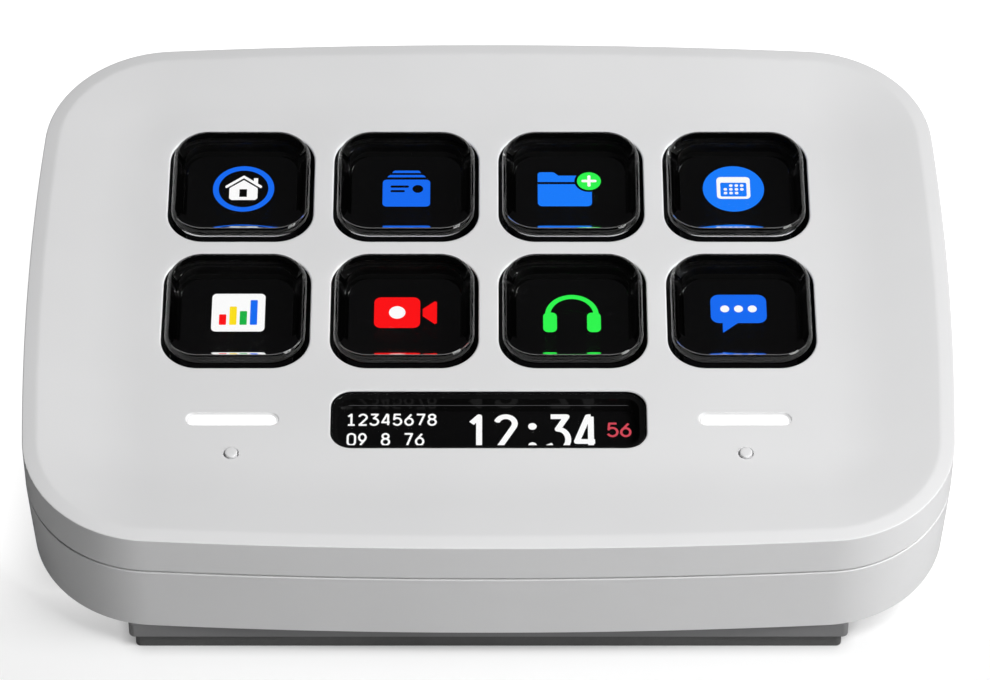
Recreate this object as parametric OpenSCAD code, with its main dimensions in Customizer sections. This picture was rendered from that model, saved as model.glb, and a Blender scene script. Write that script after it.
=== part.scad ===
// Desk keypad with eight clear display keys, a display bar and two touch bars.
// Everything above the foot is drawn square to the sloping face: x runs across it,
// y runs up the slope and z stands out of it, with z = 0 on the flat middle of the face.

/* [Housing] */
// Width across the middle of the housing
body_w = 107; // [106:0.1:108]
// Length up the slope, along the middle of the housing
body_l = 77.9; // [77.5:0.1:78.5]
// Slope of the face, in degrees
tilt = 5.5; // [4:0.5:7]
// Radius of the four corners in plan
corner_r = 15.2; // [14.5:0.1:16]
// Radius of the gently bowed left and right sides
side_bow_r = 385; // [350:5:450]
// Radius of the gently bowed front and rear
end_bow_r = 670; // [600:10:750]
// Height of the rim's outer edge over the face
rim_h = 1.25; // [1:0.05:1.5]
// Depth of the parting line under the face
seam_depth = 4.3; // [4:0.1:4.6]
// Depth of the housing's underside under the face
body_depth = 14.7; // [14.4:0.1:15]
// Wall of the two shells
wall = 2; // [1.8:0.1:2.1]

/* [Keys] */
// Distance between key centres, both ways
key_pitch = 19.5; // [19.4:0.05:19.6]
// Centre of the upper row, up the slope from the middle of the face
upper_row_y = 16.66; // [16.4:0.02:16.8]
// Side of a key's opening
key_hole = 17.17; // [17:0.01:17.3]
// Side of a key cap
key_w = 16.3; // [16.1:0.05:16.4]
// Height of a key cap over the face
key_h = 1.65; // [1.5:0.05:1.8]
// Radius of a key cap's upper edge
key_edge_r = 1.2; // [1:0.05:1.3]
// Distance that a key travels when it is pressed
key_travel = 1; // [0.6:0.1:1]

/* [Front row] */
// Centre of the display bar and the touch bars, down the slope from the middle
bar_row_y = -19.1; // [-19.3:0.1:-19]
// Width of the display bar's window
info_w = 36; // [34:0.5:36.5]
// Height of the display bar's window
info_l = 8.46; // [8.2:0.02:8.6]
// Distance of a touch bar from the middle
touch_x = 29.25; // [29:0.05:29.5]
// Length of a touch bar's slot
slot_w = 10.57; // [10.3:0.01:11]
// Distance of the round nubs down the slope from the middle
nub_y = -24.14; // [-24.3:0.01:-24]

/* [Foot] */
// Width of the plinth under the housing
plinth_w = 82; // [81:0.5:84]
// Height of the housing's front lower edge over the desk
front_lift = 3.9; // [3.8:0.1:4.3]
// Thickness of the rubber pad
pad_h = 1.9; // [1.7:0.1:2]

/* [Hidden] */
$fn = 48;
eps = 0.01; // how far a cutter runs past the face that it cuts

shell_white = [0.86, 0.86, 0.86];
foot_grey = [0.5, 0.5, 0.5];
rubber_grey = [0.35, 0.35, 0.35];
dark_plastic = [0.05, 0.05, 0.06];
dark_glass = [0.02, 0.02, 0.03];
clear_plastic = [0.75, 0.8, 0.85, 0.4];
screw_steel = [0.55, 0.56, 0.58];
board_green = [0.05, 0.25, 0.16];
ribbon_amber = [0.75, 0.45, 0.15];

// Levels through the stack, square to the face
face_t = 1.4;                          // thickness of the cover's flat face
key_gap = 0.3;                         // room over and under a key at the ends of its travel
flange_t = 0.8;
flange_top = -face_t - key_gap;
flange_low = flange_top - flange_t;
mat_top = flange_low - key_travel - key_gap;
mat_t = 0.6;
key_board_t = 0.8;
display_top = mat_top - mat_t - key_board_t;
stem_low = display_top + key_travel + key_gap;
display_t = 1.5;
backlight_t = 1.3;
tray_t = 0.8;
tray_low = display_top - display_t - backlight_t - tray_t;
pocket_top = -0.7;                     // ceiling of the hollow in a key
panel_room = 1.05;                     // over a display panel when its key is pressed
panel_top = pocket_top - key_travel - panel_room;
main_top = -9.8;
main_t = 1.2;
main_low = main_top - main_t;
floor_top = -body_depth + wall;

// Plan sizes of the keys and of the stack under them
hole_corner_r = 4.4;
key_corner_r = 4.1;
flange_w = 18.3;
stem_w = 14.8;
pocket_w = 13.5;                       // the hollow in a key
panel_w = 13;                          // the display panel that stands in that hollow
key_window = 15.6;                     // windows of the mat and the key board
guide_gap = 0.25;                      // round the flanges, in the guide's cells
stack_w = 84;
stack_l = 41.6;
stack_y = upper_row_y - key_pitch / 2; // middle of the eight keys
tray_wall = 1;
inner_w = stack_w - 2 * tray_wall;
inner_l = stack_l - 2 * tray_wall;
info_corner_r = 2.4;
touch_board_w = 81;
touch_board_l = 9.8;
touch_board_top = -4.7;
touch_board_low = touch_board_top - 1;
main_w = 84;
main_l = 56;

// Screw places, from the middle of what they hold
main_screw = [38.5, 24];
shell_screw = [36, 32.5];
foot_screw = [24, 26];
tray_screw = [45.5, 13];
touch_screw_x = 38.3;

// Thread radii
shell_thread_r = 1;
tray_thread_r = 0.8;
board_thread_r = 0.8;
foot_thread_r = 0.8;
touch_thread_r = 0.7;

// The plan outline: each quadrant is half a side bow, a corner and half an end bow, all tangent.
side_centre = [body_w / 2 - side_bow_r, 0];
end_centre = [0, body_l / 2 - end_bow_r];
corner_centre = circles_meet(side_centre, side_bow_r - corner_r, end_centre, end_bow_r - corner_r);
side_end = direction(corner_centre - side_centre);
end_start = direction(corner_centre - end_centre);

function direction(v) = atan2(v[1], v[0]);

// The point to the upper right where two circles cross
function circles_meet(p, rp, q, rq) =
    let (d = norm(q - p), u = (q - p) / d, along = (d * d + rp * rp - rq * rq) / (2 * d))
    p + along * u + sqrt(rp * rp - along * along) * [-u[1], u[0]];

// A station is [centre x, centre y, radius, angle]: a place on an outline of arcs, and its normal.
function arc_stations(c, r, from, to, steps, first = 0) =
    [for (i = [first:steps]) [c[0], c[1], r, from + (to - from) * i / steps]];
function mirrored(s) = [-s[0], s[1], s[2], 180 - s[3]];
function turned(s) = [-s[0], -s[1], s[2], s[3] + 180];

// Four quadrants from one. skip is 1 where its ends lie on the axes, so that no point repeats.
function all_round(quadrant, skip) =
    let (last = len(quadrant) - 1,
         half = concat([for (i = [0:last - skip]) quadrant[i]],
                       [for (i = [last:-1:skip]) mirrored(quadrant[i])]))
    concat(half, [for (s = half) turned(s)]);

body_outline = all_round(concat(
    arc_stations(side_centre, side_bow_r, 0, side_end, 3),
    arc_stations(corner_centre, corner_r, side_end, end_start, 13, 1),
    arc_stations(end_centre, end_bow_r, end_start, 90, 4, 1)), 1);

function rounded_square_outline(w, r, steps) =
    all_round(arc_stations([w / 2 - r, w / 2 - r], r, 0, 90, steps), 0);

// A closed solid from an outline. Each entry of the profile is [distance inside the outline, height],
// from the middle of the underside round the edge to the middle of the top.
module loft(stations, profile) {
    n = len(stations);
    points = [for (p = profile) for (s = stations)
        [s[0] + (s[2] - p[0]) * cos(s[3]), s[1] + (s[2] - p[0]) * sin(s[3]), p[1]]];
    walls = [for (k = [0:len(profile) - 2]) for (i = [0:n - 1])
        let (j = (i + 1) % n)
        [(k + 1) * n + i, (k + 1) * n + j, k * n + j, k * n + i]];
    underside = [for (i = [0:n - 1]) i];
    top = [for (i = [n - 1:-1:0]) (len(profile) - 1) * n + i];
    polyhedron(points, concat([underside], walls, [top]));
}

// The housing's profile: the rim is a narrow flat band round a dished face.
seam_gap = 0.3;
seam_edge = 0.12;    // bevels beside the parting line
draft = 0.45;        // how far the lower shell draws in towards its underside
band_w = 1.5;
band_rise = 0.15;
dish_start = 1.85;   // from the outline in to where the face starts to fall
dish_bend = 7.5;     // from there in the fall eases off along an arc
dish_end = 14;
dish_angle = 9;
dish_bow_r = (dish_end - dish_bend) / sin(dish_angle);
lip_t = 0.95;        // the cover's thin outer lip, which laps the lower shell's tongue
lip_top = -2.6;
lip_gap = 0.1;
tongue_d = lip_t + lip_gap;
tongue_top = lip_top - 0.15;
cover_low = -seam_depth + seam_gap / 2;
base_high = -seam_depth - seam_gap / 2;

function dish_h(d) = dish_bow_r - sqrt(pow(dish_bow_r, 2) - pow(dish_end - d, 2));

cover_profile = concat(
    [[dish_end, -face_t], [dish_bend, dish_h(dish_bend) - 1.5], [wall + 0.7, -0.5], [wall, -1.2],
     [wall, lip_top], [lip_t, lip_top], [lip_t, cover_low], [seam_edge, cover_low],
     [0, cover_low + seam_edge],
     [0, rim_h - 0.13], [0.04, rim_h - 0.04], [0.14, rim_h],
     [band_w - 0.2, rim_h + band_rise - 0.02], [band_w + 0.05, rim_h + band_rise],
     [dish_start, rim_h + band_rise - 0.015]],
    [for (i = [0:4]) let (d = dish_bend + (dish_end - dish_bend) * i / 5) [d, dish_h(d)]],
    [[dish_end, 0]]);

base_profile = [
    [dish_end, -body_depth], [draft + 0.08, -body_depth], [draft, -body_depth + 0.08],
    [0, base_high - seam_edge], [seam_edge, base_high],
    [tongue_d, base_high], [tongue_d, tongue_top], [wall, tongue_top],
    [wall + draft, floor_top + 0.8], [wall + draft + 0.8, floor_top], [dish_end, floor_top]];

// Where the housing stands: its front lower edge is front_lift over the desk, and its
// foremost and rearmost points lie equally far from the origin.
slab_z = front_lift + (body_l / 2 - draft) * sin(tilt) + body_depth * cos(tilt);
foremost = -body_l / 2 * cos(tilt) - (rim_h - 0.13) * sin(tilt);
rearmost = (body_l / 2 - draft) * cos(tilt) + (body_depth - 0.08) * sin(tilt);
slab_y = -(foremost + rearmost) / 2;

module slab() {
    translate([0, slab_y, slab_z]) rotate([tilt, 0, 0]) children();
}

module at_corners(place) {
    for (sx = [-1, 1]) for (sy = [-1, 1]) translate([sx * place[0], sy * place[1], 0]) children();
}

module on_both_sides(x) {
    for (side = [-1, 1]) translate([side * x, 0, 0]) children();
}

module at_tray_screws() {
    translate([0, stack_y, 0]) at_corners(tray_screw) children();
}

module at_touch_screws() {
    translate([0, bar_row_y, 0]) on_both_sides(touch_screw_x) children();
}

// Keys 1 to 4 are the upper row, from the left, and keys 5 to 8 the lower row.
function key_place(k) = [((k - 1) % 4 - 1.5) * key_pitch, upper_row_y - (k > 4 ? key_pitch : 0)];

module at_keys() {
    for (k = [1:8]) translate(key_place(k)) children();
}

// A box with rounded upright edges, from z = low to z = high
module rounded_box(w, l, r, low, high) {
    translate([0, 0, low]) linear_extrude(height = high - low) {
        square([w - 2 * r, l], center = true);
        square([w, l - 2 * r], center = true);
        for (sx = [-1, 1]) for (sy = [-1, 1])
            translate([sx * (w / 2 - r), sy * (l / 2 - r)]) circle(r);
    }
}

module box_at(w, l, low, high) {
    translate([-w / 2, -l / 2, low]) cube([w, l, high - low]);
}

module rod_at(r, low, high) {
    translate([0, 0, low]) cylinder(r = r, h = high - low);
}

// A flat shape with round ends
module pill(w, l) {
    square([w - l, l], center = true);
    for (side = [-1, 1]) translate([side * (w - l) / 2, 0]) circle(l / 2);
}

module pill_box(w, l, low, high) {
    translate([0, 0, low]) linear_extrude(height = high - low) pill(w, l);
}

// Top cover. Bosses hang from its skin, and their blind holes take thread-forming screws.
shell_boss_r = 2.5;
shell_boss_low = -9;
tray_boss_r = 2.2;
touch_boss_r = 1.7;
boss_root = -0.5;    // inside the skin
thread_end = -2.4;
slot_l = 1.85;
nub_r = 1;
nub_h = 0.32;
nub_edge = 0.12;     // the nub's bevel

module nub() {
    rod_at(nub_r, boss_root, nub_h - nub_edge);
    translate([0, 0, nub_h - nub_edge]) cylinder(r1 = nub_r, r2 = nub_r - 0.15, h = nub_edge);
}

module top_cover() color(shell_white) slab() difference() {
    union() {
        loft(body_outline, cover_profile);
        translate([0, nub_y, 0]) on_both_sides(touch_x) nub();
        at_corners(shell_screw) rod_at(shell_boss_r, shell_boss_low, boss_root);
        at_tray_screws() rod_at(tray_boss_r, tray_low + tray_t, boss_root);
        at_touch_screws() rod_at(touch_boss_r, touch_board_top, boss_root);
    }
    at_keys() rounded_box(key_hole, key_hole, hole_corner_r, -face_t - 1, 1);
    translate([0, bar_row_y, 0]) {
        rounded_box(info_w, info_l, info_corner_r, -face_t - 1, 1);
        on_both_sides(touch_x) pill_box(slot_w, slot_l, -face_t - 1, 1);
    }
    at_corners(shell_screw) rod_at(shell_thread_r, shell_boss_low - eps, thread_end);
    at_tray_screws() rod_at(tray_thread_r, tray_low + tray_t - eps, thread_end);
    at_touch_screws() rod_at(touch_thread_r, touch_board_top - eps, thread_end);
}

// Bottom cover, with the inlet's hole in its rear wall
port_w = 9.4;
port_l = 3.7;
socket_w = 8.94;
socket_t = 3.16;
socket_z = main_top + socket_t / 2;
head_seat = -10.6;                     // where the shell screws' heads bear
head_hole_r = 2.2;
shell_post_r = 3.2;
post_r = 2.2;
post_root = 1;                         // inside the floor
foot_post_h = 0.8;

// A tunnel with round ends, along y
module pill_tunnel(w, l, from, to) {
    translate([0, to, socket_z]) rotate([90, 0, 0]) linear_extrude(height = to - from) pill(w, l);
}

module bottom_cover() color(shell_white) slab() difference() {
    union() {
        loft(body_outline, base_profile);
        at_corners(shell_screw) rod_at(shell_post_r, floor_top - post_root, shell_boss_low);
        at_corners(main_screw) rod_at(post_r, floor_top - post_root, main_low);
        at_corners(foot_screw) rod_at(post_r, floor_top - post_root, floor_top + foot_post_h);
    }
    at_corners(shell_screw) {
        rod_at(head_hole_r, -body_depth - 1, head_seat);
        rod_at(shell_thread_r + 0.2, -body_depth - 1, shell_boss_low + eps);
    }
    at_corners(main_screw) rod_at(board_thread_r, floor_top - 1.2, main_low + eps);
    at_corners(foot_screw) rod_at(foot_thread_r, -body_depth - 1, floor_top + foot_post_h + eps);
    pill_tunnel(port_w, port_l, body_l / 2 - 4, body_l / 2 + 1);
}

// Foot: a wedge that levels the slope, with a steel plate inside it and a rubber pad under it
plinth_l = 72.7;
plinth_y = slab_y + 0.65;
plinth_r = 1.5;
plinth_wall = 2;
plinth_floor = pad_h + 1;
plinth_top = pad_h + 20;               // the housing's underside trims it
foot_post_r = 3.8;
foot_head_hole_r = 1.9;
foot_seat = -body_depth - 1.2;         // where the plinth screws' heads bear
foot_post_y = slab_y + body_depth * sin(tilt);
ballast = [72, 36, 2];
ballast_r = 2.4;
rib_t = 1;
rib_gap = 0.2;

module trimmed_by_housing() {
    difference() {
        children();
        slab() box_at(2 * body_w, 2 * body_l, -body_depth, body_depth);
    }
}

module ballast_rib() {
    outer = 2 * (rib_gap + rib_t);
    difference() {
        rounded_box(ballast[0] + outer, ballast[1] + outer, ballast_r + outer / 2, pad_h,
                    plinth_floor + ballast[2]);
        rounded_box(ballast[0] + 2 * rib_gap, ballast[1] + 2 * rib_gap, ballast_r + rib_gap,
                    pad_h - 1, plinth_top);
    }
}

module base_plinth() color(foot_grey) trimmed_by_housing() difference() {
    union() {
        translate([0, plinth_y, 0]) {
            difference() {
                rounded_box(plinth_w, plinth_l, plinth_r, pad_h, plinth_top);
                rounded_box(plinth_w - 2 * plinth_wall, plinth_l - 2 * plinth_wall, plinth_r,
                            plinth_floor, plinth_top + 1);
            }
            ballast_rib();
        }
        translate([0, foot_post_y, 0]) at_corners(foot_screw) rod_at(foot_post_r, pad_h, plinth_top);
    }
    slab() at_corners(foot_screw) {
        rod_at(foot_thread_r + 0.2, -2 * slab_z, 0);
        rod_at(foot_head_hole_r, -2 * slab_z, foot_seat);
    }
}

module foot_pad() color(rubber_grey) translate([0, plinth_y, 0])
    rounded_box(plinth_w - 1.4, plinth_l - 0.8, 1.2, 0, pad_h);

module ballast_plate() color(screw_steel) translate([0, plinth_y, 0])
    rounded_box(ballast[0], ballast[1], ballast_r, plinth_floor, plinth_floor + ballast[2]);

// A key is a clear cap: a thick plate with rounded edges, a flange under the cover, and a hollow
// stem that comes down round one of the display's raised panels.
key_outline = rounded_square_outline(key_w, key_corner_r, 6);
flange_out = (flange_w - key_w) / 2;
stem_in = (key_w - stem_w) / 2;
stem_edge = 0.2;     // bevel round the stem's lower end
pocket_in = (key_w - pocket_w) / 2;
panel_in = (key_w - panel_w) / 2;
key_profile = concat(
    [[pocket_in, pocket_top], [pocket_in, stem_low],
     [stem_in + stem_edge, stem_low], [stem_in, stem_low + stem_edge], [stem_in, flange_low],
     [-flange_out, flange_low], [-flange_out, flange_top], [0, flange_top]],
    [for (a = [0:22.5:90]) [key_edge_r * (1 - cos(a)), key_h - key_edge_r * (1 - sin(a))]]);

module key_cap(k) color(clear_plastic) slab() translate(key_place(k)) loft(key_outline, key_profile);

module key_guide() color(dark_plastic) slab() difference() {
    cell_w = flange_w + 2 * guide_gap;
    translate([0, stack_y, 0]) rounded_box(stack_w, stack_l, 2, mat_top, -face_t);
    at_keys() rounded_box(cell_w, cell_w, key_corner_r + flange_out + guide_gap, mat_top - 1, 0);
}

// The flat layers under the keys, each a sheet with eight windows
module windowed_sheet(low, high) {
    difference() {
        translate([0, stack_y, 0]) rounded_box(inner_w, inner_l, 1.5, low, high);
        at_keys() rounded_box(key_window, key_window, 3, low - 1, high + 1);
    }
}

module key_mat() color(dark_plastic) slab() windowed_sheet(mat_top - mat_t, mat_top);

module key_board() color(board_green) slab() windowed_sheet(display_top, mat_top - mat_t);

// One display, with a raised panel under each key
module key_display() color(dark_glass) slab() {
    translate([0, stack_y, 0]) box_at(inner_w, inner_l, display_top - display_t, display_top);
    at_keys() rounded_box(panel_w, panel_w, key_corner_r - panel_in, display_top - display_t / 2, panel_top);
}

module backlight() color("white") slab() translate([0, stack_y, 0])
    box_at(inner_w, inner_l, tray_low + tray_t, display_top - display_t);

// The tray is an open box with four screw tabs, and a slot in its rear wall for the ribbon.
ribbon_w = 16;
ribbon_t = 0.2;
ribbon_fold = 3;
ribbon_off = 0.6;    // between a ribbon's drop and what it comes out of
ribbon_room = 0.3;   // over and under the ribbon in the slot
display_ribbon_z = display_top - display_t / 2;

module display_tray() color([0.3, 0.31, 0.33]) slab() translate([0, stack_y, 0]) difference() {
    union() {
        rounded_box(stack_w, stack_l, 2, tray_low, mat_top);
        for (sy = [-1, 1]) translate([0, sy * tray_screw[1], 0])
            rounded_box(2 * tray_screw[0] + 5, 6, 2.4, tray_low, tray_low + tray_t);
    }
    box_at(inner_w, inner_l, tray_low + tray_t, 0);
    at_corners(tray_screw) rod_at(tray_thread_r + 0.2, tray_low - 1, tray_low + tray_t + 1);
    translate([0, stack_l / 2, 0])
        box_at(ribbon_w + 1, 2 * tray_wall + 1, display_ribbon_z - ribbon_t - ribbon_room,
               display_ribbon_z + ribbon_room);
}

// Display bar: a clear window set in its opening, over a small display on the touch board
window_top = -0.25;
window_low = -3;
window_flange = [info_w + 2, info_l + 1.6];

module info_window() color(clear_plastic) slab() translate([0, bar_row_y, 0]) {
    rounded_box(info_w - 0.3, info_l - 0.3, info_corner_r - 0.15, -face_t - 0.1, window_top);
    rounded_box(window_flange[0], window_flange[1], info_corner_r, window_low, -face_t);
}

module info_display() color(dark_glass) slab() translate([0, bar_row_y, 0])
    box_at(window_flange[0], window_flange[1], touch_board_top, window_low);

module touch_board() color(board_green) slab() difference() {
    translate([0, bar_row_y, 0])
        rounded_box(touch_board_w, touch_board_l, 1, touch_board_low, touch_board_top);
    at_touch_screws() rod_at(touch_thread_r + 0.2, touch_board_low - 1, touch_board_top + 1);
}

// Each light bar spreads the light of three LEDs under it.
led = [1.6, 0.8, 0.6];
led_pitch = 3.5;
bar_w = slot_w - 0.57;
bar_l = slot_l - 0.35;
bar_flange_t = 1;

module touch_leds() color([0.95, 0.9, 0.7]) slab() translate([0, bar_row_y, 0])
    on_both_sides(touch_x) for (step = [-1:1]) translate([step * led_pitch, 0, 0])
        box_at(led[0], led[1], touch_board_top, touch_board_top + led[2]);

module light_bar(side) color("white") slab() translate([side * touch_x, bar_row_y, 0]) {
    pill_box(bar_w, bar_l, touch_board_top + led[2] + 0.1, -0.2);
    pill_box(slot_w + 2, slot_l + 1.8, -face_t - bar_flange_t, -face_t);
}

// Main board: each chip is [x, y, width, length]
chips = [[-14, 6, 10, 10], [4, 8, 7, 7], [18, 2, 8, 6], [-28, -10, 5, 6], [26, -12, 6, 4],
         [0, -12, 12, 3], [-24, 18, 3, 4], [22, 20, 5, 3]];
chip_h = 0.75;
tongue = [18, 12];                     // carries the inlet, over the rear edge
socket_mouth = body_l / 2 - 0.5;       // just inside the rear wall's face
socket_l = 7.3;
socket_skin = 0.3;

module main_board() color(board_green) slab() difference() {
    union() {
        rounded_box(main_w, main_l, 1.5, main_low, main_top);
        translate([0, main_l / 2 + 2, 0]) rounded_box(tongue[0], tongue[1], 1, main_low, main_top);
    }
    at_corners(main_screw) rod_at(board_thread_r + 0.2, main_low - 1, main_top + 1);
}

module board_chips() color(dark_plastic) slab()
    for (c = chips) translate([c[0], c[1], 0]) box_at(c[2], c[3], main_top, main_top + chip_h);

module usb_socket() color(screw_steel) slab() {
    difference() {
        pill_tunnel(socket_w, socket_t, socket_mouth - socket_l, socket_mouth);
        pill_tunnel(socket_w - 2 * socket_skin, socket_t - 2 * socket_skin,
                    socket_mouth - socket_l + 0.8, socket_mouth + 1);
    }
    translate([0, socket_mouth - 3.6, 0]) box_at(6.7, 5.8, socket_z - 0.35, socket_z + 0.35);
}

// A ribbon cable: it comes along y to the origin under z = top, goes down and folds back
// flat on the main board.
module ribbon(w, reach, top) {
    translate([-w / 2, 0, main_top]) cube([w, ribbon_t, top - main_top]);
    translate([-w / 2, -reach, top - ribbon_t]) cube([w, reach + ribbon_t, ribbon_t]);
    translate([-w / 2, -ribbon_fold, main_top]) cube([w, ribbon_fold + ribbon_t, ribbon_t]);
}

module display_flex() color(ribbon_amber) slab()
    translate([0, stack_y + stack_l / 2 + ribbon_off, 0])
        ribbon(ribbon_w, tray_wall + ribbon_off, display_ribbon_z);

info_ribbon_w = 8;
info_ribbon_x = 30;
info_ribbon_reach = 2; // under the touch board

module info_flex() color(ribbon_amber) slab()
    translate([info_ribbon_x, bar_row_y - touch_board_l / 2 - ribbon_off, 0]) rotate([0, 0, 180])
        ribbon(info_ribbon_w, ribbon_off + info_ribbon_reach, touch_board_low);

// Screws: each is [shank radius, shank length, head radius, head thickness]
shell_bolt = [shell_thread_r, 7.2, 1.9, 1.4];
tray_bolt = [tray_thread_r, 5, 1.6, 0.9];
board_bolt = [board_thread_r, 3, 1.6, 0.8];
touch_bolt = [touch_thread_r, 3, 1.4, 0.7];
foot_bolt = [foot_thread_r, 3.6, 1.6, 0.8];

// A screw with its head under z = 0 and its shank over it, and a cross in the head
module screw(size) {
    head_r = size[2];
    head_t = size[3];
    rod_at(size[0], -eps, size[1]);
    difference() {
        rod_at(head_r, -head_t, 0);
        for (turn = [0, 90]) rotate([0, 0, turn])
            box_at(head_r * 1.2, head_r * 0.26, -head_t - eps, -head_t / 2);
    }
}

module housing_screws() color(screw_steel) slab() at_corners(shell_screw)
    translate([0, 0, head_seat]) screw(shell_bolt);

module tray_screws() color(screw_steel) slab() at_tray_screws()
    translate([0, 0, tray_low]) screw(tray_bolt);

module board_screws() color(screw_steel) slab() {
    at_corners(main_screw) translate([0, 0, main_top]) rotate([180, 0, 0]) screw(board_bolt);
    at_touch_screws() translate([0, 0, touch_board_low]) screw(touch_bolt);
}

module plinth_screws() color(screw_steel) slab() at_corners(foot_screw)
    translate([0, 0, foot_seat]) screw(foot_bolt);

top_cover();
bottom_cover();
base_plinth();
foot_pad();
ballast_plate();
key_guide();
key_cap(1);  // key_1
key_cap(2);  // key_2
key_cap(3);  // key_3
key_cap(4);  // key_4
key_cap(5);  // key_5
key_cap(6);  // key_6
key_cap(7);  // key_7
key_cap(8);  // key_8
key_mat();
key_board();
key_display();
backlight();
display_tray();
info_window();
info_display();
touch_board();
touch_leds();
light_bar(-1);  // left_light_bar
light_bar(1);  // right_light_bar
main_board();
board_chips();
usb_socket();
display_flex();
info_flex();
housing_screws();
tray_screws();
board_screws();
plinth_screws();
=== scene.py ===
"""Looks of the desk key pad: the CAD model is the fixed frame, and every shell, key and picture
is dressed here.

Shapes above the foot are written in millimetres in the slab's own axes: x across, y up the
slope and z out of the face, as in the CAD source. The foot is written in world millimetres.
"""

import math

import bmesh
import bpy
from mathutils import Matrix, Vector
from mathutils.geometry import delaunay_2d_cdt


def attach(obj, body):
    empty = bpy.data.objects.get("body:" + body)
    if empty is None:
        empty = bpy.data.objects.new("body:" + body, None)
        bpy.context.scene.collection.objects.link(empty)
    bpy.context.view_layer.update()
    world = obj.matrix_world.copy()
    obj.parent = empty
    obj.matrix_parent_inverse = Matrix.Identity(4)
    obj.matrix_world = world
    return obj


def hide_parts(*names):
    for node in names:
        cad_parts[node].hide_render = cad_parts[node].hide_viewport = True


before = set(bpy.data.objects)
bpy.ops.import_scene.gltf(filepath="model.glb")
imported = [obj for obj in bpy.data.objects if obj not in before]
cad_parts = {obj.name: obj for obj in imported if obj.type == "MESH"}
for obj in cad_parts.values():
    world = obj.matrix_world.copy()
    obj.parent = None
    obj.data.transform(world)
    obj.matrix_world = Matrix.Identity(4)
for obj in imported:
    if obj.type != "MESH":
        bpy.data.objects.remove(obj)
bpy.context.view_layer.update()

MM = 0.001

# ---------------------------------------------------------------- sizes, as in the CAD source
BODY_W, BODY_L, TILT = 107.0, 77.9, math.radians(5.5)
CORNER_R, SIDE_BOW_R, END_BOW_R = 15.2, 385.0, 670.0
RIM_H, SEAM_DEPTH, BODY_DEPTH, WALL = 1.25, 4.3, 14.7, 2.0
RIM_EDGE, BASE_EDGE = 0.13, 0.08            # bevels at the foremost and the rearmost point
SEAM_GAP, SEAM_EDGE, DRAFT = 0.3, 0.12, 0.45
BAND_W, BAND_RISE, DISH_START, DISH_BEND, DISH_END = 1.5, 0.15, 1.85, 7.5, 14.0
DISH_BOW_R = (DISH_END - DISH_BEND) / math.sin(math.radians(9))
FACE_T = 1.4
KEY_PITCH, UPPER_ROW_Y, KEY_HOLE, HOLE_R = 19.5, 16.66, 17.17, 4.4
KEY_W, KEY_R, KEY_H, KEY_EDGE_R = 16.3, 4.1, 1.65, 1.2
FLANGE_TOP, FLANGE_LOW, FLANGE_OUT = -1.7, -2.5, 1.0
STEM_IN, STEM_LOW, STEM_EDGE = 0.75, -3.9, 0.2
POCKET_IN, POCKET_TOP, PANEL_TOP = 1.4, -0.7, -2.75
BAR_ROW_Y, INFO_W, INFO_L, INFO_R = -19.1, 36.0, 8.46, 2.4
TOUCH_X, NUB_X, SLOT_W, SLOT_L, NUB_Y = 29.2, 29.15, 10.57, 1.85, -24.14
GLOW_LESS_W, GLOW_LESS_L = 0.57, 0.35       # how much less than its slot a light bar measures
PLINTH_W, PLINTH_L, PLINTH_BACK, FRONT_LIFT = 82.0, 72.7, 0.65, 3.9
PAD_H, PAD_LESS_W, PAD_LESS_L = 1.9, 1.4, 0.8       # how much less than the plinth the pad does
LIP_T, LIP_TOP, LIP_GAP = 0.95, -2.6, 0.1
FLOOR_TOP = -BODY_DEPTH + WALL
PORT_W, PORT_L, PORT_DEPTH, SOCKET_Z = 9.4, 3.7, 4, -9.8 + 1.58

SIN_T, COS_T = math.sin(TILT), math.cos(TILT)
SLAB_Z = FRONT_LIFT + (BODY_L / 2 - DRAFT) * SIN_T + BODY_DEPTH * COS_T
FOREMOST = -BODY_L / 2 * COS_T - (RIM_H - RIM_EDGE) * SIN_T
REARMOST = (BODY_L / 2 - DRAFT) * COS_T + (BODY_DEPTH - BASE_EDGE) * SIN_T
SLAB_Y = -(FOREMOST + REARMOST) / 2
PLINTH_Y = SLAB_Y + PLINTH_BACK
WORLD = Matrix.Scale(MM, 4)
SLAB = Matrix.Translation((0, SLAB_Y * MM, SLAB_Z * MM)) @ Matrix.Rotation(TILT, 4, "X") @ WORLD

# ---------------------------------------------------------------- sizes of this script's own
RIM_ROUND = 0.14                            # round of the rim's outer edge
FACE_EDGE = 12.0                            # how far inside the outline the meshed face begins
PLINTH_R, PAD_R = 0.7, 0.6                  # the foot's corners
FILLET, SLOT_FILLET, FILLET_STEPS = 0.2, 0.08, 5    # of the dark openings; of slots and grooves
SUPPORT = 0.3                               # strip of face round such a fillet
GRID_STEP, GRID_COLUMNS, GRID_ROWS = 1.6, 32, 24    # points that carry the dished face
GRID_OFF_EDGE, GRID_OFF_OPENING = 0.4, 0.3
GAP_SHADE_OUT, GAP_SHADE_IN = 0.002, 0.05           # black bands of painted shade in the openings' walls, measured inside the walls
NUB_R, NUB_GAP, NUB_STEPS = 0.72, 0.15, 40
PILL_SLACK = 0.001                          # keeps a pill's two straight ends from vanishing
PICTURE_T, PICTURE_GAP, LAYER_STEP = 0.02, 0.01, 0.03
PICTURE_PITCH = 19.4
PICTURE_Y = 1.28     # up the slope: seen from the front through a cap, a picture looks centred
PICTURE_SHIFT = {2: (-0.05, -0.53), 3: (-0.17, -0.38)}
INFO_TOP, PANE_LOW, INFO_LOW = -0.25, -0.75, -3.0
PANE_GAP, PANE_EDGE = 0.15, 0.2             # round the bar's pane; round of its upper edge
FRAME_IN, FRAME_OUT, FRAME_GAP = 0.65, 1.0, 0.01    # the frame under it, from the pane's edge
GLOW_FLANGE = 1.0                           # how far a light bar's flange stands out

SIDES = {-1: "left", 1: "right"}
KEYS = range(1, 9)


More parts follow.
